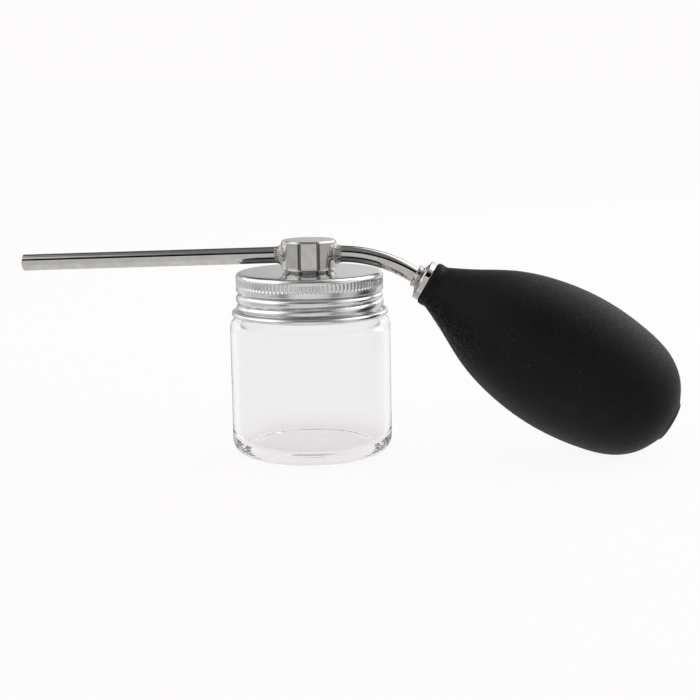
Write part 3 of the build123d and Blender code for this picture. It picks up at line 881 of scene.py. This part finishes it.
def make_bulb():
    """Hollow rubber bulb: rolled neck, pear-shaped body, thick boss round the intake valve."""
    neck = rounded(
        [
            (BULB_MOUTH_R, 0.0),
            (BULB_NECK_R - 0.15, 0.0, 0.7),
            (BULB_NECK_R, 1.6, 0.5),
            (BULB_NECK_R - 0.12, 2.4, 0.5),
            (BULB_NECK_R, 3.0),
        ]
    )
    side = [(r, s) for s, r in spline(BULB_OUTLINE, 150)]
    rear = rounded(
        [
            side[-1],
            (VALVE_R + 0.4, BULB_LENGTH, 0.25),
            (VALVE_R + 0.06, BULB_LENGTH - 0.02),
            (VALVE_R + 0.03, BULB_LENGTH - VALVE_SINK),
            (VALVE_SEAT_R, BULB_LENGTH - VALVE_SINK),
        ],
        steps=4,
    )
    lining = [(max(4.4, r - BULB_WALL), s) for r, s in side if 13.0 < s < 76.0]
    inner = [(VALVE_SEAT_R, 76.4), (6.5, 76.4)] + lining[::-6] + [(3.7, 12.0)]
    outline = neck[:-1] + side + rear[1:] + inner
    piece = lathe("squeeze_bulb", outline, segments=180, place=ON_BULB, sharp=50)
    dress(piece, RUBBER, "cap", "black_rubber", "rubber_bulb")
    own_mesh(piece)
    return piece


def make_intake():
    """Round black valve body in the bulb's rear end, with a stepped face round its air hole."""
    length = BULB_LENGTH
    outline = rounded(
        [
            (2.5, 70.0),
            (VALVE_SEAT_R, 70.0, 0.2),
            (VALVE_SEAT_R, 73.4),
            (4.6, 75.4, 0.2),
            (4.6, 76.4, 0.1),
            (VALVE_SEAT_R, 76.4),
            (VALVE_SEAT_R, length - VALVE_SINK),
            (VALVE_R, length - VALVE_SINK),
            (VALVE_R, length, 0.35),
            (4.2, length, 0.15),
            (3.9, length - 0.3, 0.12),
            (2.9, length - 0.3, 0.12),
            (2.6, length, 0.15),
            (2.0, length, 0.12),
            (2.0, length - 0.8),
            (1.1, length - 0.8),
            (1.1, 78.0),
            (2.1, 77.0),
            (2.5, 77.0),
        ],
        steps=4,
    )
    piece = lathe("intake_valve", divided(outline, 1.2), segments=96, place=ON_BULB, sharp=45)
    return dress(piece, PLASTIC, "intake_valve", "black_plastic", "intake_body")


# ================================================================ CAD nodes that stay

KEPT_NODES = (
    ("cap_liner", FOAM),
    ("hub_gasket", SEAL),
    ("hub_washer", ZINC),
    ("hub_nut", ZINC),
    ("outlet_seat", BRASS),
    ("outlet_ball", BALL_STEEL),
    ("outlet_pin", BRASS),
    ("intake_ball", BALL_STEEL),
    ("intake_pin", BRASS),
    ("intake_screen", MESH_STEEL),
)

make_jar()
make_cap()
make_hub()
make_nozzle()
make_bulb_tube()
make_braze("nozzle_braze_ring", ON_NOZZLE, "nozzle_braze")
make_braze("bulb_tube_braze_ring", ON_BULB_TUBE, "bulb_tube_braze")
make_connector()
make_bulb()
make_intake()
for node, recipe in KEPT_NODES:
    recipe.finish_on(frame["nodes"][node])


# ================================================================ floor, light, camera

def make_floor():
    """Plain pale floor, left out of mirror reflections so that the metal shows only the soft light."""
    reach = 30.0
    corners = [(-reach, -reach, 0), (reach, -reach, 0), (reach, reach, 0), (-reach, reach, 0)]
    mesh = bpy.data.meshes.new("floor")
    mesh.from_pydata(corners, [], [(0, 1, 2, 3)])
    floor = bpy.data.objects.new("floor", mesh)
    bpy.context.scene.collection.objects.link(floor)
    m = Recipe("pale_floor", Base_Color=(0.045, 0.045, 0.045), Roughness=0.9, Specular_IOR_Level=0.0)
    m.set("Emission Color", (1.0, 0.982, 0.99))
    m.set("Emission Strength", 0.935)
    m.finish_on(floor)
    floor.visible_glossy = False


def up(elevation):
    """Share of the way from straight down to straight up, for an elevation in degrees."""
    return (elevation + 90) / 180


def levels(nodes, value, stops, place):
    """Brightness by value: each stop is (degrees, level), and place turns degrees into a share."""
    return nodes.colours(value, *((place(angle), (level,) * 3) for angle, level in stops))


def room_directions(nodes):
    """Where a ray points: across, ahead, its height share, and its share of the way from front to back."""
    direction = nodes.node("ShaderNodeTexCoord").outputs["Generated"]
    turned = nodes.node(
        "ShaderNodeVectorRotate", [("Vector", direction), ("Angle", -CAMERA_TURN)], rotation_type="Z_AXIS"
    )
    x, y, z = nodes.node("ShaderNodeSeparateXYZ", [(0, turned.outputs[0])]).outputs
    height = nodes.ranged(nodes.math("ARCSINE", z), -pi / 2, pi / 2, 0.0, 1.0)
    bearing = nodes.math("ARCTAN2", x, nodes.math("MULTIPLY", y, -1.0))
    side = nodes.ranged(nodes.math("ABSOLUTE", bearing), 0.0, pi, 0.0, 1.0)
    return x, y, height, side


def reflected_room(nodes):
    """The room that mirror reflections see: bright lower part with dark bars, dark gap, side boxes."""
    x, y, height, side = room_directions(nodes)

    def aside(angle):
        return angle / 180

    # The dark bars stand between the ceiling's dark gap and the floor.
    below_gap = nodes.ranged(height, up(22), up(28), 1.0, 0.0)
    above_floor = nodes.ranged(height, up(-44), up(-30), 0.0, 1.0)
    with_bars = nodes.math("MULTIPLY", below_gap, above_floor)
    by_side = nodes.layered(with_bars, (1, 1, 1, 1), levels(nodes, side, ROOM_BY_SIDE, aside))
    room = nodes.layered(1.0, levels(nodes, height, ROOM_BY_HEIGHT, up), by_side, "MULTIPLY")

    # Soft boxes to the left and right, the left one brighter.
    box_side = levels(nodes, side, BOX_BY_SIDE, aside)
    box = nodes.layered(1.0, box_side, levels(nodes, height, BOX_BY_HEIGHT, up), "MULTIPLY")
    box_share = nodes.ranged(x, -0.3, 0.3, 0.75, 0.3)
    lit = nodes.layered(box_share, room, box, "ADD")

    # The wall behind the object fades to the left and towards the floor.
    behind = nodes.ranged(y, 0.8, 0.95, 0.0, 1.0)
    low_back = nodes.ranged(height, up(25), up(40), 1.0, 0.0)
    fade_left = nodes.ranged(x, -0.12, 0.14, 0.42, 1.0)
    fade_down = nodes.ranged(height, up(-14), up(4), 0.2, 1.0)
    left_shade = nodes.between(nodes.math("MULTIPLY", behind, low_back), 1.0, fade_left)
    down_shade = nodes.between(behind, 1.0, fade_down)
    level = nodes.math("MULTIPLY", nodes.math("MULTIPLY", left_shade, down_shade), ROOM_LEVEL)
    return nodes.node("ShaderNodeBackground", [(0, lit), (1, level)]).outputs[0]


def make_world():
    """Plain ground for the camera and for all that is seen through glass, a room for mirror reflections
    and even white light for the rest."""
    world = bpy.data.worlds.new("studio")
    bpy.context.scene.world = world
    world.use_nodes = True
    world.node_tree.nodes.clear()
    nodes = Nodes(world.node_tree)
    mirrored = reflected_room(nodes)
    even = nodes.node("ShaderNodeBackground", [(0, (1.0, 0.985, 0.99, 1)), (1, 1.0)]).outputs[0]
    seen = nodes.node("ShaderNodeBackground", [(0, (0.984, 0.965, 0.974, 1)), (1, 1.0)]).outputs[0]
    path = nodes.node("ShaderNodeLightPath").outputs
    mirror_ray = path["Is Glossy Ray"]
    direct_ray = nodes.math("MAXIMUM", path["Is Camera Ray"], path["Transmission Depth"])
    plain = nodes.node("ShaderNodeMixShader", [(0, mirror_ray), (1, even), (2, mirrored)]).outputs[0]
    final = nodes.node("ShaderNodeMixShader", [(0, direct_ray), (1, plain), (2, seen)]).outputs[0]
    nodes.node("ShaderNodeOutputWorld", [(0, final)])


def make_light(name, position, target, size, power):
    """Square soft light aimed at a point."""
    data = bpy.data.lights.new(name, "AREA")
    data.size = size
    data.energy = power
    data.color = (1.0, 0.985, 0.965)
    lamp = bpy.data.objects.new(name, data)
    bpy.context.scene.collection.objects.link(lamp)
    lamp.location = position
    lamp.rotation_euler = (Vector(target) - Vector(position)).to_track_quat("-Z", "Y").to_euler()
    return lamp


def make_camera():
    """Camera that looks about 10 degrees down, from slightly to the bulb's side."""
    data = bpy.data.cameras.new("camera")
    data.sensor_width = 36.0
    data.lens = CAMERA_LENS
    data.clip_start = 0.01
    camera = bpy.data.objects.new("camera", data)
    bpy.context.scene.collection.objects.link(camera)
    level = Vector((cos(CAMERA_TURN), sin(CAMERA_TURN), 0))
    ahead = Vector((-sin(CAMERA_TURN), cos(CAMERA_TURN), 0))
    forward = ahead * cos(CAMERA_PITCH) - Vector((0, 0, sin(CAMERA_PITCH)))
    upward = level.cross(forward)
    right = level * cos(CAMERA_ROLL) + upward * sin(CAMERA_ROLL)
    top = upward * cos(CAMERA_ROLL) - level * sin(CAMERA_ROLL)
    matrix = Matrix((right, top, -forward)).transposed().to_4x4()
    matrix.translation = Vector(CAMERA_PLACE) * MM
    camera.matrix_world = matrix
    bpy.context.scene.camera = camera


make_floor()
make_world()
make_light("key", (0.5, 0.42, 0.62), (0.07, 0, 0.03), 0.9, 4.5)
make_camera()
bpy.context.scene.view_settings.view_transform = "Standard"
bpy.context.scene.cycles.max_bounces = 24
bpy.context.scene.cycles.glossy_bounces = 16
bpy.context.scene.cycles.transmission_bounces = 24
